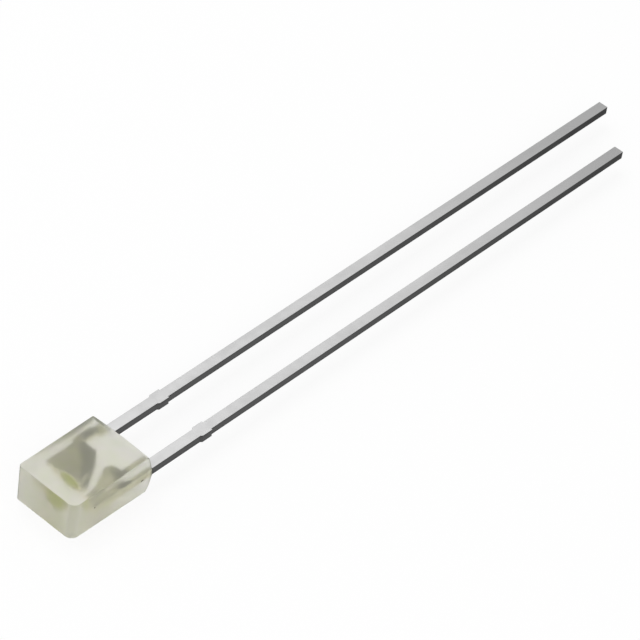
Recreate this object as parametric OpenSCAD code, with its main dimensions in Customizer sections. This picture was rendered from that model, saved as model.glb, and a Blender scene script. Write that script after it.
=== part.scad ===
// Rectangular indicator lamp with two leads, in millimetres.
// It lies on its broad face. The origin is the middle of that face, the light leaves towards -Y,
// and the leads run towards +Y. Depths are measured forwards from the rear face of the body.

/* [Body] */
// Width of the body at its light-emitting face
front_width = 3.25; // [3.2:0.01:4.2]
// Width of the body at its rear face, where the mould was open
rear_width = 3.3; // [3.28:0.01:4.3]
// Thickness of the body at its light-emitting face
front_thickness = 1.95; // [1.7:0.01:3.0]
// Thickness of the body at its rear face
rear_thickness = 2.01; // [1.7:0.01:3.1]
// Length of the body from the light-emitting face to the rear edges
body_length = 4.3; // [4.0:0.05:7.0]
// Radius of the upright front edge on the anode side
anode_edge_radius = 0.16; // [0.05:0.01:0.4]
// Radius of the upright front edge on the cathode side
cathode_edge_radius = 0.38; // [0.05:0.01:0.45]
// Radius of the four long edges where they reach the rear face
long_edge_radius = 0.06; // [0.03:0.01:0.2]

/* [Rear meniscus] */
// How far the set resin stands out of the mould at its highest
meniscus_height = 0.3; // [0.1:0.01:0.4]
// Height of that crest above the lower face, as a share of the thickness
meniscus_crest = 0.38; // [0.35:0.01:0.65]
// How far the rear edges bow out at the middle of the width
rear_bow = 0.05; // [0.02:0.01:0.1]

/* [Leads] */
// Distance between the centres of the two leads
lead_pitch = 2.54; // [2.1:0.01:2.6]
// How far the set of leads sits from the middle of the body's width, towards the cathode
frame_offset = 0.07; // [-0.1:0.01:0.1]
// How far the set of leads sits below the middle of the body's thickness
frame_drop = 0.05; // [-0.1:0.01:0.1]
// Width of each lead
lead_width = 0.5; // [0.4:0.01:0.56]
// Thickness of the strip that the leads are stamped from
lead_thickness = 0.4; // [0.3:0.01:0.5]
// Length of the anode lead behind the body
anode_length = 33.4; // [20:0.1:42]
// Length of the cathode lead behind the body
cathode_length = 31.45; // [18:0.05:40]
// Distance from the rear face to the collar's shoulder
collar_start = 3.23; // [1:0.01:6]
// Length of the collar along the lead
collar_length = 0.64; // [0.4:0.01:1.2]
// Width of the collar
collar_width = 0.64; // [0.62:0.01:0.9]
// Length of the slope at the collar's shoulders nearest the body
collar_slope = 0.08; // [0.02:0.01:0.2]

/* [Head and cup] */
// Distance of the cup's axis from the middle of the set of leads
cup_offset = -0.02; // [-0.15:0.01:0.05]
// Depth of the cup's rim and of the head's front edge
rim_depth = 2.95; // [2.75:0.01:3.6]
// How far the outer side of the neck behind the head lies outside the lead's
neck_shift = 0.09; // [0:0.01:0.1]
// Width of that neck
neck_width = 0.41; // [0.35:0.01:0.5]
// Depth at which the lead has narrowed to the neck
neck_depth = 0.25; // [0.2:0.01:0.5]
// Depth at which the neck's outer side steps in to the head
neck_end_depth = 1.25; // [1.1:0.01:1.5]
// How far the head's outer side lies inside the lead's
head_inset = 0.09; // [0:0.01:0.15]
// Depth at which the head widens out of the neck
head_root_depth = 1.0; // [0.8:0.01:1.2]
// Width that the head gains at its root
head_step = 0.76; // [0.5:0.01:0.8]
// How far past the cup's axis the bend in the head's slanted side lies
bend_reach = 0.1; // [0.05:0.01:0.12]
// Depth of that bend
bend_depth = 1.6; // [1.5:0.01:1.8]
// How far past the cup's axis the head reaches at its front
head_reach = 0.85; // [0.8:0.01:0.88]
// Size of the slope at the head's front corner nearest the post
head_slope = 0.12; // [0.06:0.01:0.2]
// Size of the slopes at the head's outer corners
corner_slope = 0.07; // [0.03:0.01:0.15]
// Radius of the cup at its rim, inside
rim_inner_radius = 0.55; // [0.45:0.01:0.6]
// Radius of the cup's floor
floor_radius = 0.32; // [0.28:0.01:0.4]
// Depth of the cup from rim to floor
cup_depth = 0.38; // [0.3:0.01:0.46]
// Thickness of the cup's wall at the rim
rim_wall = 0.1; // [0.06:0.01:0.15]
// Length of the coned boss that the cup is pressed into
boss_length = 0.75; // [0.65:0.01:0.9]
// Radius of the boss at its back
boss_back_radius = 0.42; // [0.36:0.01:0.5]
// Distance from the cup's rim to the anode wire's bond on the head
land_reach = 0.25; // [0.15:0.01:0.4]

/* [Post] */
// Depth of the post's bonding face
post_depth = 3.05; // [2.85:0.01:3.4]
// Width of that face
post_tip_width = 0.46; // [0.35:0.01:0.5]
// Depth at which the post's slanted side turns straight towards that face
post_neck_depth = 2.45; // [2.2:0.01:2.6]
// Depth of the post's corner nearest the head
post_shoulder_depth = 1.42; // [1.35:0.01:1.7]
// Depth of the corner behind that one
post_back_depth = 1.08; // [1.03:0.01:1.3]
// How much narrower the post is at that corner
post_back_slope = 0.1; // [0.05:0.01:0.3]
// Depth at which the post widens out of the lead
post_root_depth = 1.0; // [0.8:0.01:1.02]
// Gap between the head and the post at the head's bend
bend_gap = 0.41; // [0.3:0.01:0.45]
// Gap between their slanted sides at the head's tip
tip_gap = 0.29; // [0.24:0.01:0.35]

/* [Die and fill] */
// Side of the square die
die_side = 0.3; // [0.24:0.01:0.36]
// Thickness of the die
die_thickness = 0.1; // [0.08:0.01:0.12]
// Thickness of the adhesive under the die
attach_thickness = 0.02; // [0.015:0.005:0.03]
// How far the adhesive spreads past the die
attach_margin = 0.02; // [0.01:0.005:0.03]
// How far the fill domes out of the cup
fill_dome = 0.07; // [0.05:0.01:0.15]

/* [Bond wires] */
// Diameter of the wires
wire_diameter = 0.03; // [0.02:0.005:0.04]
// Distance of each bond from the middle of the die
bond_spacing = 0.09; // [0.06:0.005:0.1]
// Diameter of the ball at the die end of each wire
ball_diameter = 0.08; // [0.06:0.005:0.09]
// Thickness of that ball
ball_thickness = 0.02; // [0.015:0.005:0.03]
// How far the middle of each wire clears the cup's rim as it crosses it
wire_clearance = 0.15; // [0.06:0.01:0.25]

/* [Hidden] */

round_steps = 48;
bow_steps = 720;
hull_steps = 16;
overcut = 0.5;
slab = 0.01;
meniscus_lap = 0.3;
wire_sides = 6;
wire_rings = 12;

rear_y = body_length / 2;
mid_z = rear_thickness / 2;
frame_z = mid_z - frame_drop;
anode_x = frame_offset - lead_pitch / 2;
cathode_x = frame_offset + lead_pitch / 2;
half_lead = lead_width / 2;
half_collar = collar_width / 2;
collar_end = collar_start + collar_length;
neck_outer_x = anode_x - half_lead - neck_shift;
neck_inner_x = neck_outer_x + neck_width;
head_outer_x = anode_x - half_lead + head_inset;

// The draft carries on past the rear face, so that the meniscus can be cut from it
width_draft = (rear_width - front_width) / body_length;
thickness_draft = (rear_thickness - front_thickness) / body_length;
blank_length = body_length + meniscus_height + rear_bow + overcut;
blank_width = front_width + width_draft * blank_length;
blank_thickness = front_thickness + thickness_draft * blank_length;

// Each part of the meniscus is an arc that is upright at the crest
crest_z = rear_thickness * meniscus_crest;
upper_rise = rear_thickness - crest_z;
upper_radius = arc_radius(upper_rise, meniscus_height);
lower_radius = arc_radius(crest_z, meniscus_height);
bow_radius = arc_radius(rear_width / 2, rear_bow);

cup_x = frame_offset + cup_offset;
rim_outer_radius = rim_inner_radius + rim_wall;
floor_depth = rim_depth - cup_depth;
boss_back_depth = rim_depth - boss_length;
anode_bond = [cup_x - rim_outer_radius - land_reach, rim_depth];
cathode_bond = [cathode_x, post_depth];

// The head's slanted side runs from its bend to its tip, and the post's runs beside it
head_bend = [cup_x + bend_reach, bend_depth];
head_tip = [cup_x + head_reach, rim_depth - head_slope];
head_side = (head_tip - head_bend) / norm(head_tip - head_bend);
across_gap = [head_side[1], -head_side[0]];
gap_start = head_bend + bend_gap * across_gap;
gap_end = head_tip + tip_gap * across_gap;
post_taper = (gap_end[0] - gap_start[0]) / (gap_end[1] - gap_start[1]);

attach_depth = floor_depth + attach_thickness;
die_face_depth = attach_depth + die_thickness;
wire_start_depth = die_face_depth + ball_thickness / 2;
dome_radius = arc_radius(rim_inner_radius, fill_dome);

// Radius of an arc that rises by rise over half_chord, from its crest to its end
function arc_radius(half_chord, rise) = (half_chord * half_chord + rise * rise) / (2 * rise);

// Place across the width on the post's slanted side, at a depth
function post_side(depth) = gap_start[0] + (depth - gap_start[1]) * post_taper;

// One side of a lead behind the body, as [x, depth], from its free end to the collar
function lead_side(x, length, side) = [
    [x + side * half_lead, -length],
    [x + side * half_lead, -collar_end],
    [x + side * half_collar, -collar_end],
    [x + side * half_collar, -collar_start - collar_slope],
    [x + side * half_lead, -collar_start]];

// The part of the anode lead's outline that lies in the body
function head_outline() = [
    [anode_x + half_lead, neck_depth / 2],
    [neck_inner_x, neck_depth],
    [neck_inner_x, head_root_depth],
    [neck_inner_x + head_step, head_root_depth],
    head_bend,
    head_tip,
    [head_tip[0] - head_slope, rim_depth],
    [head_outer_x + corner_slope, rim_depth],
    [head_outer_x, rim_depth - corner_slope],
    [head_outer_x, neck_end_depth + neck_shift + head_inset],
    [neck_outer_x, neck_end_depth],
    [neck_outer_x, neck_depth],
    [anode_x - half_lead, neck_depth / 2]];

// The part of the cathode lead's outline that lies in the body
function post_outline() = [
    [cathode_x + half_lead, post_depth],
    [cathode_x + half_lead - post_tip_width, post_depth],
    [post_side(post_neck_depth), post_neck_depth],
    [post_side(post_shoulder_depth), post_shoulder_depth],
    [post_side(post_shoulder_depth) + post_back_slope, post_back_depth],
    [cathode_x - half_lead, post_root_depth]];

function reversed(list) = [for (i = [len(list) - 1 : -1 : 0]) list[i]];

// Rise of a wire's loop above its chord that clears the rim where the wire crosses it
function loop_rise(from, to, crossing_x) =
    let (t = (crossing_x - from[0]) / (to[0] - from[0]))
        (rim_depth + wire_clearance - from[1] - t * (to[1] - from[1])) / (4 * t * (1 - t));

function wire_point(from, to, loop, t) = from + t * (to - from) + [0, 4 * loop * t * (1 - t)];

function wire_slope(from, to, loop, t) = to - from + [0, 4 * loop * (1 - 2 * t)];

// The first and last rings lie flat on the bonding faces
function wire_normal(from, to, loop, ring) =
    ring == 0 ? [1, 0]
    : ring == wire_rings ? [-1, 0]
    : let (s = wire_slope(from, to, loop, ring / wire_rings)) [s[1], -s[0]] / norm(s);

// Moves a shape that is drawn forwards along +Z from the rear face to the height of the leads
module forwards() {
    translate([0, rear_y, frame_z])
        rotate([90, 0, 0])
            children();
}

// Cuts a lead from the strip, with its outline in the body given as [x, depth]
module stamped(x, length, inner_outline) {
    translate([0, rear_y, frame_z - lead_thickness / 2])
        mirror([0, 1, 0])
            linear_extrude(lead_thickness)
                polygon(concat(lead_side(x, length, 1), inner_outline, reversed(lead_side(x, length, -1))));
}

module rounded_section(width, height, radius) {
    for (x = [-1, 1], z = [-1, 1])
        translate([x * (width / 2 - radius), z * (height / 2 - radius)])
            circle(radius, $fn = hull_steps);
}

// One upright edge of the light-emitting face
module front_edge(side, radius) {
    translate([side * (front_width / 2 - radius), radius - rear_y, mid_z - front_thickness / 2])
        cylinder(r = radius, h = front_thickness, $fn = hull_steps);
}

// The drafted blank, crisp at the front and with soft long edges towards the rear
module drafted_blank() {
    hull() {
        front_edge(-1, anode_edge_radius);
        front_edge(1, cathode_edge_radius);
        translate([0, blank_length - rear_y, mid_z])
            rotate([90, 0, 0])
                linear_extrude(slab)
                    rounded_section(blank_width, blank_thickness, long_edge_radius);
    }
}

// The part of the rear profile that lies on one side of the crest
module meniscus_half(radius, low) {
    intersection() {
        translate([meniscus_height - radius, crest_z])
            circle(radius, $fn = round_steps);
        translate([-meniscus_lap, low])
            square([meniscus_lap + 2 * meniscus_height, rear_thickness]);
    }
}

// Everything in front of the meniscus, turned about a far upright axis so that its edges bow
module before_meniscus() {
    translate([0, rear_y + rear_bow - bow_radius, 0])
        rotate_extrude($fn = bow_steps)
            translate([bow_radius, 0]) {
                meniscus_half(upper_radius, crest_z);
                meniscus_half(lower_radius, crest_z - rear_thickness);
                translate([-body_length - rear_bow - overcut, -overcut])
                    square([body_length + rear_bow + overcut - meniscus_lap + slab,
                            rear_thickness + 2 * overcut]);
            }
}

// The resin as it would be with nothing embedded in it
module resin() {
    intersection() {
        drafted_blank();
        before_meniscus();
    }
}

// The fill's outer form: the cup's hollow and a low dome over it
module cup_form() {
    forwards()
        translate([cup_x, 0, 0]) {
            translate([0, 0, floor_depth])
                cylinder(r1 = floor_radius, r2 = rim_inner_radius, h = cup_depth, $fn = round_steps);
            intersection() {
                translate([0, 0, rim_depth + fill_dome - dome_radius])
                    sphere(dome_radius, $fn = round_steps);
                translate([-dome_radius, -dome_radius, rim_depth])
                    cube([2 * dome_radius, 2 * dome_radius, 2 * fill_dome]);
            }
        }
}

// A looped wire between two points given as [x, depth]
module looped_wire(from, to, loop) {
    points = [
        for (ring = [0 : wire_rings])
            let (c = wire_point(from, to, loop, ring / wire_rings))
            let (n = wire_normal(from, to, loop, ring))
                for (side = [0 : wire_sides - 1])
                    let (a = 360 * side / wire_sides)
                        [c[0] + wire_diameter / 2 * cos(a) * n[0],
                         wire_diameter / 2 * sin(a),
                         c[1] + wire_diameter / 2 * cos(a) * n[1]]];
    sides = [
        for (ring = [0 : wire_rings - 1], side = [0 : wire_sides - 1])
            let (a = ring * wire_sides + side, b = ring * wire_sides + (side + 1) % wire_sides)
                [a, b, b + wire_sides, a + wire_sides]];
    first_end = [for (side = [wire_sides - 1 : -1 : 0]) side];
    last_end = [for (side = [0 : wire_sides - 1]) wire_rings * wire_sides + side];
    forwards()
        polyhedron(points, concat(sides, [first_end, last_end]), convexity = 4);
}

module bond_wire(from_x, to, crossing_x) {
    from = [from_x, wire_start_depth];
    union() {
        forwards()
            translate([from_x, 0, die_face_depth])
                cylinder(d = ball_diameter, h = ball_thickness, $fn = round_steps);
        looped_wire(from, to, loop_rise(from, to, crossing_x));
    }
}

module epoxy_body() {
    color([0.82, 0.83, 0.76, 0.5])
        difference() {
            resin();
            anode_lead();
            cathode_lead();
            cup_form();
            anode_bond_wire();
            cathode_bond_wire();
        }
}

module anode_lead() {
    color([0.74, 0.74, 0.75])
        difference() {
            union() {
                stamped(anode_x, anode_length, head_outline());
                forwards()
                    translate([cup_x, 0, boss_back_depth])
                        cylinder(r1 = boss_back_radius, r2 = rim_outer_radius, h = boss_length,
                                 $fn = round_steps);
            }
            cup_form();
        }
}

module cathode_lead() {
    color([0.74, 0.74, 0.75])
        stamped(cathode_x, cathode_length, post_outline());
}

module led_chip() {
    color([0.35, 0.45, 0.6])
        forwards()
            translate([cup_x - die_side / 2, -die_side / 2, attach_depth])
                cube([die_side, die_side, die_thickness]);
}

module die_attach() {
    attach_side = die_side + 2 * attach_margin;
    color([0.85, 0.85, 0.82])
        forwards()
            translate([cup_x - attach_side / 2, -attach_side / 2, floor_depth])
                cube([attach_side, attach_side, attach_thickness]);
}

module phosphor_fill() {
    color([0.66, 0.7, 0.42])
        difference() {
            cup_form();
            led_chip();
            die_attach();
            anode_bond_wire();
            cathode_bond_wire();
        }
}

module anode_bond_wire() {
    color([0.85, 0.68, 0.32])
        bond_wire(cup_x - bond_spacing, anode_bond, cup_x - rim_outer_radius);
}

module cathode_bond_wire() {
    color([0.85, 0.68, 0.32])
        bond_wire(cup_x + bond_spacing, cathode_bond, cup_x + rim_outer_radius);
}

epoxy_body();
anode_lead();
cathode_lead();
led_chip();
die_attach();
phosphor_fill();
anode_bond_wire();
cathode_bond_wire();
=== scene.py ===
"""The looks of a rectangular indicator lamp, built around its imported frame, in metres."""

import math

import bmesh
import bpy
from mathutils import Euler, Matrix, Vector


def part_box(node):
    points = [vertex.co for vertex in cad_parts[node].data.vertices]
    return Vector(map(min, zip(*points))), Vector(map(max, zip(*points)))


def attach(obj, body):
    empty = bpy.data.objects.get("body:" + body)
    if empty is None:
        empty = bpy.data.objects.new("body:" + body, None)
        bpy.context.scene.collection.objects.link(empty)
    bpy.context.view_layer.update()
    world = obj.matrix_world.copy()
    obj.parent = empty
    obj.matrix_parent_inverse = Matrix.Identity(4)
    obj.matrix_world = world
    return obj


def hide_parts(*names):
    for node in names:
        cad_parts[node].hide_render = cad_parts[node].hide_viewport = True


bl_info = {
    "name": "Rectangular indicator lamp",
    "version": (1, 0, 0),
    "blender": (4, 5, 0),
    "location": "View3D > Sidebar > Lamp",
    "description": "Builds the body, leads, wires and stage of a rectangular indicator lamp",
    "category": "Object",
}

MM = 0.001
# Middles of the spots of painted shade on the upper faces of head and post, as x and y in
# millimetres.
BURIED_SHADE_SPOTS = ((-1.3, 1.7), (-0.76, 1.04), (-0.38, 0.78), (0.06, 0.4), (0.33, 0.02),
                 (0.53, -0.35), (1.2, 1.0))
# Middles of the flecks on the cathode side of the body, as y and z in millimetres.
SIDE_FLECKS = ((-0.9, 1.165), (1.83, 0.86), (1.9, 0.87))
# Where a tone begins and where it is full, in millimetres inwards from an edge of the body. The
# first six place painted shade on the resin's edges.
EDGE_SHADE_FROM_SIDE = (0.34, 0.04)
EDGE_SHADE_FROM_REAR = (0.16, 0.08)
EDGE_SHADE_FROM_TOP = (0.12, 0.06)
RIM_FROM_ANODE_SIDE = (0.2, 0.12)
RIM_FROM_BOTH_SIDES = (0.12, 0.07)
RIM_FROM_REAR = (0.08, 0.05)
MILK_FROM_BOTH_SIDES = (0.0, 0.35)
MILK_FROM_REAR = (0.02, -0.06)
BURIED_FROM_REAR = (-0.3, -0.22)
# The same for the painted shade along the anode's side and across the rear, as shares of the body's
# halves.
EDGE_SHADE_ALONG = (-0.5, 1.0)
EDGE_SHADE_ACROSS = (-0.3, -0.7)
# The same for the painted shade along the leads' faces and sides, and for the post's top, across
# the body.
FACE_SHADING = (20 * MM, 33 * MM)
SIDE_SHADING = (12 * MM, 33 * MM)
POST_TOP = (0.6 * MM, 0.8 * MM)
# The same for the sides' darker edges, as shares of half the strip's thickness.
SIDE_EDGES = (0.45, 0.85)
# The same by a normal: by its upward part for faces that aren't level, and by products of its parts
# for rounded edges of the body.
UNLEVEL = (0.85, 0.45)
ROUNDED = (0.05, 0.15)
TURNED = (0.0, 0.15)
# Noise levels that count as none and as full.
NOISE_SPREAD = (0.3, 0.7)
# Share of the body's length at its rear over which it goes over into the meniscus.
REAR_ZONE = 0.03
# How much thicker each ball is than it shows, as it sinks into the die, and half of each wedge's
# size in wire diameters.
BALL_SINK = 1.2
WEDGE_SHAPE = Vector((1.4, 0.4, 0.9))
# How finely the body, the bond wires and the leads' edges are cut.
REAR_STEPS = 110
WALL_STEPS = 56
EDGE_STEPS = 5
REAR_CORNER_STEPS = 5
ANODE_CORNER_STEPS = 8
CATHODE_CORNER_STEPS = 20
LOOP_STEPS = 36
WIRE_SIDES = 16
BALL_STEPS = (24, 14)
WEDGE_STEPS = (20, 10)
BEVEL_STEPS = 3
MERGE_DISTANCE = 0.0005 * MM
FLAT_ANGLE = math.radians(0.5)
EDGE_ANGLE = math.radians(35)
# Where the two lights stand, and the place that they face.
KEY_PLACE = Vector((-60, 20, 130)) * MM
FILL_PLACE = Vector((90, -60, 90)) * MM
LIT_PLACE = Vector((0, 12, 0)) * MM

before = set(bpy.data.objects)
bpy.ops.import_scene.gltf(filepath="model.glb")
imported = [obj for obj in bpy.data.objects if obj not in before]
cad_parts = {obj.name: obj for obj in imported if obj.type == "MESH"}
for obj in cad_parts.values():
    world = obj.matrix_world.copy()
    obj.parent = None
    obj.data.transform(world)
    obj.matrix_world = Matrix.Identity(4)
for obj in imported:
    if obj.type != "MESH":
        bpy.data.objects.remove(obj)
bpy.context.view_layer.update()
body_low, body_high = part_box("epoxy_body")
anode_low, anode_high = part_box("anode_lead")
cathode_low, cathode_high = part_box("cathode_lead")
die_low, die_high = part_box("led_chip")


def length_property(name, description, millimetres):
    return bpy.props.FloatProperty(name=name, description=description, default=millimetres * MM,
                                   unit="LENGTH")


def colour_property(name, description, colour):
    return bpy.props.FloatVectorProperty(name=name, description=description, default=colour,
                                         subtype="COLOR", size=3, min=0.0, max=1.0)


def share_property(name, description, share):
    return bpy.props.FloatProperty(name=name, description=description, default=share,
                                   subtype="FACTOR", min=0.0, max=1.0)


def number_property(name, description, value, unit="NONE"):
    return bpy.props.FloatProperty(name=name, description=description, default=value, unit=unit)


class LampBody(bpy.types.PropertyGroup):
    front_width: length_property("Front width", "Width of the light-emitting face", 3.25)
    rear_width: length_property("Rear width", "Width of the body at its rear edges", 3.3)
    front_thickness: length_property("Front thickness", "Thickness at the front face", 1.95)
    rear_thickness: length_property("Rear thickness", "Thickness at the rear edges",
                                    (body_high.z - body_low.z) / MM)
    length: length_property("Length", "Length from the light-emitting face to the rear edges",
                            -2.0 * body_low.y / MM)
    anode_corner: length_property("Anode corner",
                                  "Radius of the upright front edge by the anode", 0.16)
    cathode_corner: length_property("Cathode corner",
                                    "Radius of the upright front edge by the cathode", 0.38)
    rear_corner: length_property("Rear corner", "Radius of the upright rear edges", 0.05)
    front_edge: length_property("Front edge", "Radius round the broad faces at the front", 0.03)
    long_edge: length_property("Long edge", "Radius of the long edges at the rear", 0.06)
    meniscus: length_property("Meniscus", "How far the rear face stands out", 0.3)
    crest: share_property("Crest", "Height of its crest as a share of the thickness", 0.38)
    bow: length_property("Bow", "How far the rear edges bow out", 0.05)
    wetting: length_property("Wetting", "How far the resin climbs along each lead", 0.07)
    wetting_reach: length_property("Wetting reach", "How wide that climb is round each lead", 0.14)


class LampResin(bpy.types.PropertyGroup):
    tint: colour_property("Tint", "Colour of the resin's surface", (0.8, 0.82, 0.69))
    cloud_tint: colour_property("Cloud tint", "Colour of the pale clouds in that surface",
                                (0.86, 0.83, 0.8))
    clearness: share_property("Clearness", "Share of the light that the surface lets through", 0.9)
    milkiness: share_property("Milkiness", "Share of the light that the surface scatters", 0.12)
    rear_milkiness: share_property("Rear milkiness", "That share on the open rear face", 0.72)
    edge_milkiness: share_property("Edge milkiness", "What the rounded upright edges add", 0.6)
    milk_tint: colour_property("Milk tint", "Colour of that scattered light", (0.9, 0.9, 0.88))
    # Painted shade on the resin's edges: the colour that they are darkened to, and how far the
    # rounded edges by the anode take it.
    rim_shade_tint: colour_property("Rim shade tint", "Colour of the darkened edges", (0.2, 0.21, 0.15))
    anode_rim: share_property("Anode rim", "How far the rounded edges by the anode take it", 0.4)
    fleck_tint: colour_property("Fleck tint", "Colour of the dark flecks on the cathode side",
                                (0.06, 0.05, 0.02))
    fleck_size: length_property("Fleck size", "Radius of those flecks", 0.055)
    depth_tint: colour_property("Depth tint", "Colour that long ways through the resin take",
                                (0.6, 0.6, 0.3))
    depth_density: number_property("Depth density", "How fast that tint builds up, per metre", 50.0)
    refraction: number_property("Refraction", "Index of refraction of the resin", 1.53)


class LampLeads(bpy.types.PropertyGroup):
    edge: length_property("Edge", "Radius of the stamped edges", 0.016)
    collar_width: length_property("Collar width", "Width of the stand-off collars", 0.64)
    lead_width: length_property("Lead width", "Width of each lead", 0.5)
    pitch: length_property("Pitch", "Distance between the middles of the leads", 2.54)
    # The faces and sides darken towards the free ends as painted shade. The sides are dark partly
    # from their duller sheared finish and partly as painted shade.
    face_colour: colour_property("Rolled face", "Colour of the bright rolled faces",
                                 (0.57, 0.57, 0.57))
    end_colour: colour_property("Free end", "Colour of those faces at the free ends",
                                (0.4, 0.4, 0.4))
    side_colour: colour_property("Sheared side", "Colour of the sheared sides",
                                 (0.085, 0.085, 0.085))
    side_edge_colour: colour_property("Sheared edge", "Colour of the sides at their edges",
                                 (0.05, 0.05, 0.05))
    side_end: colour_property("Side's end", "Colour of the sides at the free ends",
                              (0.03, 0.03, 0.03))
    dirt_colour: colour_property("Dirt", "Colour of the faint dirt all over", (0.12, 0.12, 0.12))
    line_depth: length_property("Line depth", "Depth of the fine rolled lines", 0.0012)
    # Inside the resin the upper faces are painted dark as shade and the other faces pale as painted
    # light. The spots add more painted shade to the tops, and the mottle is random tone.
    buried_face: colour_property("Buried top", "Colour of the upper faces inside the resin",
                                 (0.52, 0.51, 0.33))
    buried_post: colour_property("Post's top", "Colour of the post's upper face",
                                 (0.68, 0.66, 0.48))
    buried_shade_and_mottle: colour_property("Buried shade and mottle", "Colour of the duller patches on those faces",
                                  (0.22, 0.22, 0.14))
    shade_spot_size: length_property("Shade spot size", "Radius of each patch along the head's edge", 0.5)
    buried_side: colour_property("Buried side", "Colour of the other faces inside the resin",
                                 (0.92, 0.9, 0.74))
    buried_dullness: share_property("Buried dullness", "Roughness that the resin adds", 0.4)
    grazing_tint: share_property("Grazing tint", "How bright the strip is at a grazing angle", 0.7)


class LampInside(bpy.types.PropertyGroup):
    phosphor_colour: colour_property("Phosphor", "Colour of the phosphor fill", (0.32, 0.35, 0.01))
    powder_depth: length_property("Powder depth", "Roughness of the fill's surface", 0.003)
    fill_edge: length_property("Fill edge", "Radius of the fill's edge", 0.006)
    die_colour: colour_property("Die", "Colour of the die", (0.22, 0.3, 0.44))
    die_pale: colour_property("Pale die", "Colour of the die's paler clouds", (0.3, 0.38, 0.52))
    adhesive_colour: colour_property("Adhesive", "Colour of the adhesive", (0.72, 0.72, 0.68))
    adhesive_pale: colour_property("Pale adhesive", "Colour of the adhesive's paler clouds",
                                   (0.82, 0.82, 0.78))
    wire_colour: colour_property("Gold", "Colour of the bond wires", (0.83, 0.6, 0.2))
    rim_radius: length_property("Rim radius", "Radius of the cup's rim, outside", 0.65)
    wire_diameter: length_property("Wire diameter", "Diameter of the bond wires", 0.03)
    wire_clearance: length_property("Wire clearance", "How far the wires clear the cup's rim", 0.15)
    bond_spacing: length_property("Bond spacing", "Distance of a bond from the die's middle", 0.09)
    ball_diameter: length_property("Ball diameter", "Diameter of the ball on the die", 0.08)
    ball_thickness: length_property("Ball thickness", "Thickness of that ball", 0.02)


class LampStage(bpy.types.PropertyGroup):
    camera_place: bpy.props.FloatVectorProperty(
        name="Camera place", description="Where the camera stands", subtype="TRANSLATION", size=3,
        default=(70.031 * MM, -79.502 * MM, 109.564 * MM))
    camera_turns: bpy.props.FloatVectorProperty(
        name="Camera turns", description="How the camera is turned about X, Y and Z",
        subtype="EULER", size=3,
        default=(math.radians(46.8688), math.radians(-6.4457), math.radians(42.6845)))
    camera_lens: number_property("Lens", "Focal length for a 36 mm wide sensor", 206.829, "CAMERA")
    floor_colour: colour_property("Floor", "Colour of the floor", (0.92, 0.92, 0.92))
    floor_width: length_property("Floor width", "Width of the square floor", 800)
    whiteness: share_property("Whiteness", "How much of its shading the camera leaves out", 0.86)
    sky_level: number_property("Sky level", "Brightness of the surroundings for the lamp", 0.75)
    light_width: length_property("Light width", "Width of each square light", 80)
    key_power: number_property("Key power", "Power of the key light", 0.05, "POWER")
    fill_power: number_property("Fill power", "Power of the fill light", 0.035, "POWER")


def add_node(tree, kind, inputs=None, **settings):
    """Adds a node with its settings, and gives each named input a value or a link."""
    node = tree.nodes.new(kind)
    for name, value in settings.items():
        setattr(node, name, value)
    for name, value in (inputs or {}).items():
        feed(tree, node.inputs[name], value)
    return node


def feed(tree, socket, value):
    if isinstance(value, bpy.types.NodeSocket):
        tree.links.new(value, socket)
    else:
        socket.default_value = value


def named_socket(sockets, identifier):
    return next(socket for socket in sockets if socket.identifier == identifier)


def add_socket(group, name, direction, kind, default=None):
    socket = group.interface.new_socket(name=name, in_out=direction, socket_type=kind)
    if default is not None:
        socket.default_value = default


def math_value(tree, operation, first, second=0.0):
    node = add_node(tree, "ShaderNodeMath", operation=operation)
    feed(tree, node.inputs[0], first)
    feed(tree, node.inputs[1], second)
    return node.outputs["Value"]


def product(tree, first, second):
    return math_value(tree, "MULTIPLY", first, second)


def absolute(tree, value):
    return math_value(tree, "ABSOLUTE", value)


def ramp(tree, value, start, end, low=0.0, high=1.0):
    """A value that goes from low to high as the given one goes from start to end."""
    node = add_node(tree, "ShaderNodeMapRange", {
        "Value": value, "From Min": start, "From Max": end, "To Min": low, "To Max": high})
    return node.outputs["Result"]


def near(tree, value, edge, reach):
    """0 where a reach inwards from an edge begins and 1 where it is full."""
    inwards = -math.copysign(MM, edge)
    return ramp(tree, value, *(edge + inwards * gap for gap in reach))


def mix_colours(tree, mask, first, second):
    """Goes from the first colour to the second as the mask goes from 0 to 1."""
    node = add_node(tree, "ShaderNodeMix", data_type="RGBA")
    feed(tree, named_socket(node.inputs, "Factor_Float"), mask)
    for identifier, colour in (("A_Color", first), ("B_Color", second)):
        value = colour if isinstance(colour, bpy.types.NodeSocket) else (*colour, 1.0)
        feed(tree, named_socket(node.inputs, identifier), value)
    return named_socket(node.outputs, "Result_Color")


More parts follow.
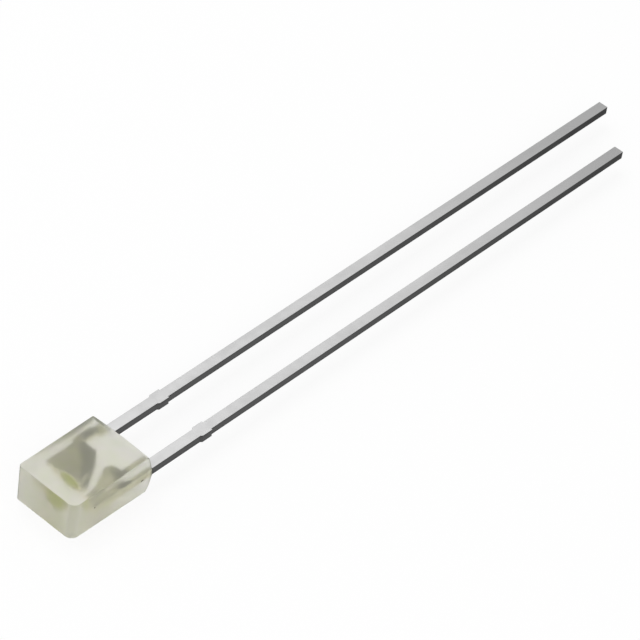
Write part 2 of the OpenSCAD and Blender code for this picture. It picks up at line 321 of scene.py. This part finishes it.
def mottle_group():
    """A soft cloudy value on object coordinates, which can be drawn out along an axis."""
    name = "Mottle"
    if name in bpy.data.node_groups:
        return bpy.data.node_groups[name]
    group = bpy.data.node_groups.new(name, "ShaderNodeTree")
    add_socket(group, "Scale", "INPUT", "NodeSocketFloat", 1000.0)
    add_socket(group, "Stretch", "INPUT", "NodeSocketVector", (1.0, 1.0, 1.0))
    add_socket(group, "Detail", "INPUT", "NodeSocketFloat", 4.0)
    add_socket(group, "Low", "INPUT", "NodeSocketFloat", 0.0)
    add_socket(group, "High", "INPUT", "NodeSocketFloat", 1.0)
    add_socket(group, "Value", "OUTPUT", "NodeSocketFloat")
    entry = add_node(group, "NodeGroupInput")
    place = add_node(group, "ShaderNodeTexCoord")
    drawn = add_node(group, "ShaderNodeMapping", {
        "Vector": place.outputs["Object"], "Scale": entry.outputs["Stretch"]})
    noise = add_node(group, "ShaderNodeTexNoise", {
        "Vector": drawn.outputs["Vector"], "Scale": entry.outputs["Scale"],
        "Detail": entry.outputs["Detail"]})
    clouds = ramp(group, noise.outputs["Fac"], *NOISE_SPREAD,
                  entry.outputs["Low"], entry.outputs["High"])
    add_node(group, "NodeGroupOutput", {"Value": clouds})
    return group


def mottle(tree, scale, detail, low=0.0, high=1.0, stretch=(1.0, 1.0, 1.0)):
    node = add_node(tree, "ShaderNodeGroup", node_tree=mottle_group())
    for name, value in (("Scale", scale), ("Detail", detail), ("Low", low), ("High", high),
                        ("Stretch", stretch)):
        node.inputs[name].default_value = value
    return node.outputs["Value"]


def new_material(name):
    material = bpy.data.materials.new(name)
    material.use_nodes = True
    return material, material.node_tree, material.node_tree.nodes["Principled BSDF"]


def add_bump(tree, shader, height, distance):
    bump = add_node(tree, "ShaderNodeBump", {"Height": height, "Distance": distance})
    tree.links.new(bump.outputs["Normal"], shader.inputs["Normal"])


def blend_to_output(tree, share, first, second):
    """Shows one shader where the share is 0 and the other where it is 1."""
    blend = add_node(tree, "ShaderNodeMixShader", {"Fac": share})
    tree.links.new(first.outputs["BSDF"], blend.inputs[1])
    tree.links.new(second, blend.inputs[2])
    tree.links.new(blend.outputs["Shader"], tree.nodes["Material Output"].inputs["Surface"])


def surface_place(tree):
    """The object coordinates as a vector, and the parts of the place and of the normal."""
    place = add_node(tree, "ShaderNodeTexCoord").outputs
    where = add_node(tree, "ShaderNodeSeparateXYZ", {"Vector": place["Object"]}).outputs
    facing = add_node(tree, "ShaderNodeSeparateXYZ", {"Vector": place["Normal"]}).outputs
    return place["Object"], where, facing


def spots(tree, vector, places, radius):
    """1 close to any of the places and 0 away from them."""
    total = 0.0
    for place in places:
        apart = add_node(tree, "ShaderNodeVectorMath", operation="DISTANCE")
        feed(tree, apart.inputs[0], vector)
        feed(tree, apart.inputs[1], place)
        spot = ramp(tree, apart.outputs["Value"], radius, radius / 2)
        total = math_value(tree, "ADD", total, spot)
    return total


def painted_edge_shade(tree, where, rear_y, side_x, top_z):
    """Painted shade: 1 on the upper edges by the anode and at the rear beside it, and 0 away from
    them.
    """
    by_anode = product(tree, near(tree, where["X"], -side_x, EDGE_SHADE_FROM_SIDE),
                       ramp(tree, where["Y"], *(share * rear_y for share in EDGE_SHADE_ALONG)))
    by_rear = product(tree, near(tree, where["Y"], rear_y, EDGE_SHADE_FROM_REAR),
                      ramp(tree, where["X"], *(share * side_x for share in EDGE_SHADE_ACROSS)))
    return product(tree, near(tree, where["Z"], top_z, EDGE_SHADE_FROM_TOP),
                   math_value(tree, "MAXIMUM", by_anode, by_rear))


def painted_rim_shade(tree, where, facing, rear_y, side_x, anode_share):
    """Painted shade: 1 on the rounded edges at the rear, a share on the others by the anode, and
    else 0.
    """
    sideways = absolute(tree, facing["X"])
    roundness = product(tree, sideways, math_value(tree, "SUBTRACT", 1.0, sideways))
    by_anode = product(tree, near(tree, where["X"], -side_x, RIM_FROM_ANODE_SIDE), anode_share)
    at_rear = product(tree, near(tree, absolute(tree, where["X"]), side_x, RIM_FROM_BOTH_SIDES),
                      near(tree, where["Y"], rear_y, RIM_FROM_REAR))
    return product(tree, ramp(tree, roundness, *ROUNDED),
                   math_value(tree, "MAXIMUM", by_anode, at_rear))


def milky_share(tree, look, where, facing, rear_y, side_x):
    """How milky the resin is: most on the open rear face and on the rounded upright edges."""
    open_rear = product(tree, near(tree, absolute(tree, where["X"]), side_x, MILK_FROM_BOTH_SIDES),
                        near(tree, where["Y"], rear_y, MILK_FROM_REAR))
    turn = product(tree, absolute(tree, facing["X"]), absolute(tree, facing["Y"]))
    return math_value(tree, "ADD", ramp(tree, turn, *TURNED, 0.0, look.edge_milkiness),
                      ramp(tree, open_rear, 0.0, 1.0, look.milkiness, look.rear_milkiness))


def resin_material(look, rear_y, side_x, top_z, flecks):
    """Clear cast resin: a little milky, more so on its open rear, and warmer along long ways, with
    painted shade darkening its edges.
    """
    material, tree, shader = new_material("Cast resin")
    shader.inputs["Transmission Weight"].default_value = look.clearness
    shader.inputs["IOR"].default_value = look.refraction
    frosting = mottle(tree, scale=700.0, detail=2.0, low=0.36, high=0.42)
    feed(tree, shader.inputs["Roughness"], frosting)
    place, where, facing = surface_place(tree)
    # Painted shade: the resin's rounded and upper edges are darkened, on the clear and the milky
    # share alike.
    shade_on_edges = math_value(tree, "MAXIMUM",
                     painted_rim_shade(tree, where, facing, rear_y, side_x, look.anode_rim),
                     painted_edge_shade(tree, where, rear_y, side_x, top_z))
    fleck = spots(tree, place, flecks, look.fleck_size)
    clouded = mix_colours(tree, mottle(tree, scale=1500.0, detail=2.0), look.tint, look.cloud_tint)
    tint, milk_tint = [
        mix_colours(tree, fleck, mix_colours(tree, shade_on_edges, clean, look.rim_shade_tint), look.fleck_tint)
        for clean in (clouded, look.milk_tint)]
    feed(tree, shader.inputs["Base Color"], tint)
    milk = add_node(tree, "ShaderNodeBsdfTranslucent", {"Color": milk_tint})
    blend_to_output(tree, milky_share(tree, look, where, facing, rear_y, side_x),
                    shader, milk.outputs["BSDF"])
    depth = add_node(tree, "ShaderNodeVolumeAbsorption", {
        "Color": (*look.depth_tint, 1.0), "Density": look.depth_density})
    tree.links.new(depth.outputs["Volume"], tree.nodes["Material Output"].inputs["Volume"])
    return material


def open_air_colour(tree, look, where, facing, strip_z, half_thickness):
    """Bright rolled faces and dark sheared sides, both darker towards the free ends as painted
    shade; the sides' darkness is partly a duller sheared finish and partly painted shade.
    """
    face = mix_colours(tree, ramp(tree, where["Y"], *FACE_SHADING),
                       look.face_colour, look.end_colour)
    off_middle = absolute(tree, math_value(tree, "SUBTRACT", where["Z"], strip_z))
    by_edge = ramp(tree, off_middle, *(share * half_thickness for share in SIDE_EDGES))
    side = mix_colours(tree, by_edge, look.side_colour, look.side_edge_colour)
    side = mix_colours(tree, ramp(tree, where["Y"], *SIDE_SHADING), side, look.side_end)
    return mix_colours(tree, ramp(tree, absolute(tree, facing["Z"]), *UNLEVEL), face, side)


def buried_colour(tree, look, place, where, facing, shade_spots):
    """Tops of head and post painted dark as shade, with random mottle and spots of painted shade,
    and the other faces painted pale as painted light.
    """
    # Random mottle together with spots of painted shade round the listed places.
    shade_and_mottle = math_value(tree, "ADD", mottle(tree, scale=1300.0, detail=2.0, high=0.5),
                       spots(tree, place, shade_spots, look.shade_spot_size))
    shade_and_mottle = math_value(tree, "MINIMUM", shade_and_mottle, 1.0)
    top = mix_colours(tree, ramp(tree, where["X"], *POST_TOP), look.buried_face, look.buried_post)
    shaded_top = mix_colours(tree, shade_and_mottle, top, look.buried_shade_and_mottle)
    return mix_colours(tree, ramp(tree, facing["Z"], *UNLEVEL), shaded_top, look.buried_side)


def tinned_material(look, rear_y, strip_z, half_thickness, shade_spots):
    """Tinned strip with fine rolled lines, which is duller inside the resin; its colour holds
    painted shade and painted light.
    """
    material, tree, shader = new_material("Tinned strip")
    shader.inputs["Metallic"].default_value = 1.0
    shader.inputs["Specular Tint"].default_value = (*[look.grazing_tint] * 3, 1.0)
    place, where, facing = surface_place(tree)
    buried = near(tree, where["Y"], rear_y, BURIED_FROM_REAR)
    clean = mix_colours(tree, buried,
                        open_air_colour(tree, look, where, facing, strip_z, half_thickness),
                        buried_colour(tree, look, place, where, facing, shade_spots))
    dirt = mottle(tree, scale=2400.0, detail=5.0, high=0.1, stretch=(1.0, 0.12, 1.0))
    feed(tree, shader.inputs["Base Color"], mix_colours(tree, dirt, clean, look.dirt_colour))
    polish = mottle(tree, scale=1800.0, detail=4.0, low=0.28, high=0.4)
    dull = product(tree, buried, look.buried_dullness)
    feed(tree, shader.inputs["Roughness"], math_value(tree, "ADD", polish, dull))
    rolled_lines = mottle(tree, scale=16000.0, detail=3.0, stretch=(1.0, 0.02, 1.0))
    add_bump(tree, shader, rolled_lines, look.line_depth)
    return material


def phosphor_material(look):
    """Matt resin that is loaded with a pale powder."""
    material, tree, shader = new_material("Phosphor fill")
    powder = mottle(tree, scale=26000.0, detail=3.0)
    powder_lift = 1.35
    pale = [min(1.0, powder_lift * part) for part in look.phosphor_colour]
    feed(tree, shader.inputs["Base Color"], mix_colours(tree, powder, look.phosphor_colour, pale))
    shader.inputs["Roughness"].default_value = 0.7
    add_bump(tree, shader, powder, look.powder_depth)
    return material


def gold_material(colour):
    """Bright drawn gold with slightly deeper patches."""
    material, tree, shader = new_material("Drawn gold")
    shader.inputs["Metallic"].default_value = 1.0
    drawing = mottle(tree, scale=30000.0, detail=2.0, low=0.16, high=0.28)
    feed(tree, shader.inputs["Roughness"], drawing)
    patches = mottle(tree, scale=12000.0, detail=2.0)
    deepening = 0.86
    deep = [deepening * part for part in colour]
    feed(tree, shader.inputs["Base Color"], mix_colours(tree, patches, colour, deep))
    return material


def clouded_material(name, scale, colour, pale, roughness):
    """A plain material that clouds between two colours."""
    material, tree, shader = new_material(name)
    feed(tree, shader.inputs["Base Color"],
         mix_colours(tree, mottle(tree, scale, detail=2.0), colour, pale))
    shader.inputs["Roughness"].default_value = roughness
    return material


def link_object(name, mesh):
    made = bpy.data.objects.new(name, mesh)
    bpy.context.scene.collection.objects.link(made)
    return made


def corner_arc(centre, radius, start, steps):
    """Points of a quarter circle from start degrees, in plan, with their outward normals."""
    points = []
    for i in range(steps + 1):
        turn = math.radians(start + 90.0 * i / steps)
        out = Vector((math.cos(turn), math.sin(turn)))
        points.append((Vector(centre) + out * radius, out))
    return points


def body_outline(size):
    """The plan outline, anticlockwise, as places and outward normals, finely cut at the rear."""
    half = size.rear_width / 2
    end = size.length / 2
    rear, anode, cathode = size.rear_corner, size.anode_corner, size.cathode_corner
    span = half - rear
    points = corner_arc((span, end - rear), rear, 0, REAR_CORNER_STEPS)
    for i in range(1, REAR_STEPS):
        points.append((Vector((span - 2 * span * i / REAR_STEPS, end)), Vector((0, 1))))
    points += corner_arc((-span, end - rear), rear, 90, REAR_CORNER_STEPS)
    points += corner_arc((anode - half, anode - end), anode, 180, ANODE_CORNER_STEPS)
    points += corner_arc((half - cathode, cathode - end), cathode, 270, CATHODE_CORNER_STEPS)
    return points


def body_levels():
    """Levels up the body's wall, as (share of the thickness between its edges, inset, lift).

    The inset and lift are shares of the edge's radius."""
    low = []
    for i in range(EDGE_STEPS + 1):
        turn = math.radians(90.0 * i / EDGE_STEPS)
        low.append((0.0, 1 - math.sin(turn), 1 - math.cos(turn)))
    wall = [(i / WALL_STEPS, 0.0, 1 - 2 * i / WALL_STEPS) for i in range(1, WALL_STEPS)]
    high = [(1.0, inset, -lift) for share, inset, lift in reversed(low)]
    return low + wall + high


def meniscus_bulge(size, share):
    """How far the rear face stands out at a share of the thickness above the lower face."""
    thickness = size.rear_thickness
    half_chord = thickness * ((1 - size.crest) if share >= size.crest else size.crest)
    radius = (half_chord * half_chord + size.meniscus * size.meniscus) / (2 * size.meniscus)
    off = abs(share - size.crest) * thickness
    return size.meniscus - radius + math.sqrt(max(radius * radius - off * off, 0.0))


def lead_sections(look):
    """The middle of each lead's section, and half of its width and thickness."""
    strip_z = (cathode_low.z + cathode_high.z) / 2
    half = Vector((look.lead_width / 2, (cathode_high.z - cathode_low.z) / 2))
    cathode_x = cathode_high.x - look.collar_width / 2
    return [Vector((x, strip_z)) for x in (cathode_x - look.pitch, cathode_x)], half


def wetting_rise(size, sections, half, x, z):
    """How far the resin climbs towards the nearest lead, from a quarter-round fillet."""
    gaps = []
    for middle in sections:
        across = max(abs(x - middle.x) - half.x, 0.0)
        up = max(abs(z - middle.y) - half.y, 0.0)
        gaps.append(math.hypot(across, up))
    left = max(0.0, 1 - min(gaps) / size.wetting_reach)
    return size.wetting * (1 - math.sqrt(1 - left * left))


def body_point(size, sections, half, place, out, level):
    """Where a point of the outline lies at one level, with draft, edge radius, meniscus and bow."""
    share, inset, lift = level
    along = place.y / size.length + 0.5
    radius = size.front_edge + (size.long_edge - size.front_edge) * along * abs(out.x)
    x, y = place - out * inset * radius
    x *= (size.front_width + (size.rear_width - size.front_width) * along) / size.rear_width
    thickness = size.front_thickness + (size.rear_thickness - size.front_thickness) * along
    z = size.rear_thickness / 2 + (share - 0.5) * thickness + lift * radius
    height_share = min(max((z - (size.rear_thickness - thickness) / 2) / thickness, 0.0), 1.0)
    behind = max(0.0, (along - 1 + REAR_ZONE) / REAR_ZONE) ** 2
    bow = size.bow * (1 - (2 * x / size.rear_width) ** 2)
    climb = wetting_rise(size, sections, half, x, z)
    y += behind * (meniscus_bulge(size, height_share) + bow + climb)
    return Vector((x, y, z))


def build_body(size, look):
    outline = body_outline(size)
    sections, half = lead_sections(look)
    mesh = bpy.data.meshes.new("resin_body")
    build = bmesh.new()
    rows = [[build.verts.new(body_point(size, sections, half, place, out, level))
             for place, out in outline] for level in body_levels()]
    for lower, upper in zip(rows, rows[1:]):
        for i in range(len(outline)):
            j = (i + 1) % len(outline)
            build.faces.new((lower[i], lower[j], upper[j], upper[i]))
    build.faces.new(list(reversed(rows[0])))
    build.faces.new(rows[-1])
    bmesh.ops.remove_doubles(build, verts=build.verts, dist=MERGE_DISTANCE)
    bmesh.ops.recalc_face_normals(build, faces=build.faces)
    build.to_mesh(mesh)
    build.free()
    made = link_object("resin_body", mesh)
    smooth_with_flats(made)
    return made


def apply_modifiers(made):
    """Replaces an object's mesh with its evaluated one and clears its modifiers."""
    seen = made.evaluated_get(bpy.context.evaluated_depsgraph_get())
    mesh = bpy.data.meshes.new_from_object(seen)
    made.modifiers.clear()
    made.data = mesh


def smooth_with_flats(made):
    """Shades an object smooth, with its large flat faces kept flat."""
    made.data.polygons.foreach_set("use_smooth", [True] * len(made.data.polygons))
    weighted = made.modifiers.new("Flat faces", "WEIGHTED_NORMAL")
    weighted.weight = 100
    weighted.keep_sharp = True
    apply_modifiers(made)


def softened_copy(node, name, width):
    """A copy of a node with its facets joined into flat faces and its edges rounded."""
    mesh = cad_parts[node].data.copy()
    made = link_object(name, mesh)
    build = bmesh.new()
    build.from_mesh(mesh)
    bmesh.ops.remove_doubles(build, verts=build.verts, dist=MERGE_DISTANCE)
    bmesh.ops.dissolve_limit(build, angle_limit=FLAT_ANGLE, verts=build.verts, edges=build.edges)
    build.to_mesh(mesh)
    build.free()
    mesh.materials.clear()
    bevel = made.modifiers.new("Rounded edge", "BEVEL")
    bevel.width = width
    bevel.segments = BEVEL_STEPS
    bevel.limit_method = "ANGLE"
    bevel.angle_limit = EDGE_ANGLE
    apply_modifiers(made)
    smooth_with_flats(made)
    return made


def grow(name, tree, values):
    """Runs a geometry tree with the given inputs, and leaves its result as a plain mesh."""
    made = link_object(name, bpy.data.meshes.new(name))
    modifier = made.modifiers.new(tree.name, "NODES")
    modifier.node_group = tree
    for item in tree.interface.items_tree:
        if item.in_out == "INPUT":
            modifier[item.identifier] = values[item.name]
    apply_modifiers(made)
    return made


def squashed_ball(tree, place, size, steps):
    """A unit ball drawn out to a size and moved to a place."""
    segments, rings = steps
    ball = add_node(tree, "GeometryNodeMeshUVSphere", {
        "Segments": segments, "Rings": rings, "Radius": 1.0})
    moved = add_node(tree, "GeometryNodeTransform", {
        "Geometry": ball.outputs["Mesh"], "Translation": place, "Scale": size})
    return moved.outputs["Geometry"]


def wire_tree():
    """A looped round wire with a squashed ball at its start and a pressed wedge at its end."""
    tree = bpy.data.node_groups.new("Bond wire", "GeometryNodeTree")
    for name in ("Start", "Middle", "End", "Ball size", "Wedge size"):
        add_socket(tree, name, "INPUT", "NodeSocketVector")
    add_socket(tree, "Wire radius", "INPUT", "NodeSocketFloat")
    add_socket(tree, "Material", "INPUT", "NodeSocketMaterial")
    add_socket(tree, "Geometry", "OUTPUT", "NodeSocketGeometry")
    entry = add_node(tree, "NodeGroupInput").outputs
    loop = add_node(tree, "GeometryNodeCurveQuadraticBezier", {
        "Resolution": LOOP_STEPS, "Start": entry["Start"], "Middle": entry["Middle"],
        "End": entry["End"]})
    section = add_node(tree, "GeometryNodeCurvePrimitiveCircle", {
        "Resolution": WIRE_SIDES, "Radius": entry["Wire radius"]})
    wire = add_node(tree, "GeometryNodeCurveToMesh", {
        "Curve": loop.outputs["Curve"], "Profile Curve": section.outputs["Curve"],
        "Fill Caps": True})
    joined = add_node(tree, "GeometryNodeJoinGeometry")
    for part in (wire.outputs["Mesh"],
                 squashed_ball(tree, entry["Start"], entry["Ball size"], BALL_STEPS),
                 squashed_ball(tree, entry["End"], entry["Wedge size"], WEDGE_STEPS)):
        tree.links.new(part, joined.inputs["Geometry"])
    smooth = add_node(tree, "GeometryNodeSetShadeSmooth", {"Geometry": joined.outputs["Geometry"]})
    real = add_node(tree, "GeometryNodeRealizeInstances", {"Geometry": smooth.outputs["Geometry"]})
    painted = add_node(tree, "GeometryNodeSetMaterial", {
        "Geometry": real.outputs["Geometry"], "Material": entry["Material"]})
    add_node(tree, "NodeGroupOutput", {"Geometry": painted.outputs["Geometry"]})
    return tree


def wire_values(look, side, bond, gold):
    """The wire tree's inputs for the wire on one side of the die, ending at its bond on a lead."""
    die_x = (die_low.x + die_high.x) / 2
    flat = look.ball_thickness / 2
    start = Vector((die_x + side * look.bond_spacing, die_low.y - flat, bond.z))
    share = (die_x + side * look.rim_radius - start.x) / (bond.x - start.x)
    crossing_y = anode_low.y - look.wire_clearance
    straight_y = start.y + share * (bond.y - start.y)
    rise = (straight_y - crossing_y) / (4 * share * (1 - share))
    middle = (start + bond) / 2 + Vector((0, -2 * rise, 0))
    ball = look.ball_diameter / 2
    return {"Start": start, "Middle": middle, "End": bond, "Wire radius": look.wire_diameter / 2,
            "Ball size": (ball, BALL_SINK * flat, ball),
            "Wedge size": WEDGE_SHAPE * look.wire_diameter, "Material": gold}


def paint(made, material):
    made.data.materials.clear()
    made.data.materials.append(material)


def seat(made, node):
    """Puts a finished piece on the lamp's body in place of a node."""
    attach(made, "root")
    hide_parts(node)


class LAMP_OT_body(bpy.types.Operator):
    """Builds the cast resin body"""

    bl_idname = "lamp.body"
    bl_label = "Body"

    def execute(self, context):
        scene = context.scene
        size = scene.lamp_body
        body = build_body(size, scene.lamp_leads)
        side_x = size.rear_width / 2
        flecks = [Vector((side_x, y * MM, z * MM)) for y, z in SIDE_FLECKS]
        paint(body, resin_material(scene.lamp_resin, size.length / 2, side_x, body_high.z, flecks))
        seat(body, "epoxy_body")
        return {"FINISHED"}


class LAMP_OT_leads(bpy.types.Operator):
    """Builds both stamped leads with their collars, head and post"""

    bl_idname = "lamp.leads"
    bl_label = "Leads"

    def execute(self, context):
        scene = context.scene
        look = scene.lamp_leads
        sections, half = lead_sections(look)
        top_z = sections[0].y + half.y
        shade_spots = [Vector((x * MM, y * MM, top_z)) for x, y in BURIED_SHADE_SPOTS]
        metal = tinned_material(look, scene.lamp_body.length / 2, sections[0].y, half.y, shade_spots)
        for node, name in (("anode_lead", "anode_strip"), ("cathode_lead", "cathode_strip")):
            lead = softened_copy(node, name, look.edge)
            paint(lead, metal)
            seat(lead, node)
        return {"FINISHED"}


class LAMP_OT_inside(bpy.types.Operator):
    """Finishes the die, its adhesive, the phosphor fill and the bond wires"""

    bl_idname = "lamp.inside"
    bl_label = "Inside"

    def execute(self, context):
        look = context.scene.lamp_inside
        crystal = clouded_material("Die crystal", scale=16000.0, colour=look.die_colour,
                                   pale=look.die_pale, roughness=0.12)
        paint(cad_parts["led_chip"], crystal)
        adhesive = clouded_material("Die adhesive", scale=20000.0, colour=look.adhesive_colour,
                                    pale=look.adhesive_pale, roughness=0.55)
        paint(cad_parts["die_attach"], adhesive)
        fill = softened_copy("phosphor_fill", "phosphor_dome", look.fill_edge)
        paint(fill, phosphor_material(look))
        seat(fill, "phosphor_fill")
        gold = gold_material(look.wire_colour)
        tree = wire_tree()
        strip_z = (cathode_low.z + cathode_high.z) / 2
        radius = look.wire_diameter / 2
        anode_bond = Vector((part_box("anode_bond_wire")[0].x + radius, anode_low.y, strip_z))
        cathode_bond = Vector((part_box("cathode_bond_wire")[1].x - radius, cathode_low.y, strip_z))
        for node, name, side, bond in (("anode_bond_wire", "anode_gold_wire", -1, anode_bond),
                                       ("cathode_bond_wire", "cathode_gold_wire", 1, cathode_bond)):
            wire = grow(name, tree, wire_values(look, side, bond, gold))
            seat(wire, node)
        return {"FINISHED"}


def add_light(name, place, width, power):
    """A square light that faces the lamp."""
    light = bpy.data.lights.new(name, "AREA")
    light.shape = "SQUARE"
    light.size = width
    light.energy = power
    made = link_object(name, light)
    made.location = place
    made.rotation_mode = "QUATERNION"
    made.rotation_quaternion = (LIT_PLACE - place).to_track_quat("-Z", "Y")


def seen_mask(tree):
    """1 for rays from the camera, from a mirror or through the resin, and 0 for others."""
    path = add_node(tree, "ShaderNodeLightPath").outputs
    total = math_value(tree, "ADD", path["Is Camera Ray"], path["Is Glossy Ray"])
    total = math_value(tree, "ADD", total, path["Is Transmission Ray"])
    return math_value(tree, "MINIMUM", total, 1.0)


def floor_material(stage):
    """A plain floor that is seen as nearly white, with the lamp's shadow still on it."""
    material, tree, shader = new_material("Floor")
    shader.inputs["Base Color"].default_value = (*stage.floor_colour, 1.0)
    shader.inputs["Roughness"].default_value = 0.9
    white = add_node(tree, "ShaderNodeEmission", {"Strength": 1.0})
    lifted = product(tree, seen_mask(tree), stage.whiteness)
    blend_to_output(tree, lifted, shader, white.outputs["Emission"])
    return material


def studio_world(stage):
    """Pale surroundings that light the lamp softly and are seen as white."""
    world = bpy.data.worlds.new("Studio")
    world.use_nodes = True
    tree = world.node_tree
    background = tree.nodes["Background"].inputs
    background["Color"].default_value = (1.0, 1.0, 1.0, 1.0)
    feed(tree, background["Strength"], ramp(tree, seen_mask(tree), 0.0, 1.0, stage.sky_level, 1.0))
    return world


def build_floor(half):
    mesh = bpy.data.meshes.new("floor")
    mesh.from_pydata([(-half, -half, 0), (half, -half, 0), (half, half, 0), (-half, half, 0)],
                     [], [(0, 1, 2, 3)])
    return link_object("floor", mesh)


def build_camera(stage):
    data = bpy.data.cameras.new("camera")
    data.lens = stage.camera_lens
    data.sensor_width = 36.0
    data.clip_start = 0.01
    data.clip_end = 5.0
    camera = link_object("camera", data)
    camera.location = stage.camera_place
    camera.rotation_euler = Euler(stage.camera_turns, "XYZ")
    return camera


class LAMP_OT_stage(bpy.types.Operator):
    """Sets up the floor, the lights and the camera"""

    bl_idname = "lamp.stage"
    bl_label = "Stage"

    def execute(self, context):
        scene = context.scene
        stage = scene.lamp_stage
        scene.view_settings.view_transform = "Standard"
        floor = build_floor(stage.floor_width / 2)
        paint(floor, floor_material(stage))
        scene.world = studio_world(stage)
        add_light("key", KEY_PLACE, stage.light_width, stage.key_power)
        add_light("fill", FILL_PLACE, stage.light_width, stage.fill_power)
        scene.camera = build_camera(stage)
        return {"FINISHED"}


class LAMP_PT_panel(bpy.types.Panel):
    """Lists the steps that build the lamp"""

    bl_idname = "LAMP_PT_panel"
    bl_label = "Rectangular lamp"
    bl_space_type = "VIEW_3D"
    bl_region_type = "UI"
    bl_category = "Lamp"

    def draw(self, context):
        for operator in OPERATORS:
            self.layout.operator(operator.bl_idname)


OPERATORS = (LAMP_OT_body, LAMP_OT_leads, LAMP_OT_inside, LAMP_OT_stage)
GROUPS = {"lamp_body": LampBody, "lamp_resin": LampResin, "lamp_leads": LampLeads,
          "lamp_inside": LampInside, "lamp_stage": LampStage}


def register():
    for made in (*GROUPS.values(), *OPERATORS, LAMP_PT_panel):
        bpy.utils.register_class(made)
    for name, group in GROUPS.items():
        setattr(bpy.types.Scene, name, bpy.props.PointerProperty(type=group))


def unregister():
    for name in GROUPS:
        delattr(bpy.types.Scene, name)
    for made in reversed((*GROUPS.values(), *OPERATORS, LAMP_PT_panel)):
        bpy.utils.unregister_class(made)


def main():
    register()
    bpy.ops.lamp.body()
    bpy.ops.lamp.leads()
    bpy.ops.lamp.inside()
    bpy.ops.lamp.stage()


if __name__ == "__main__":
    main()
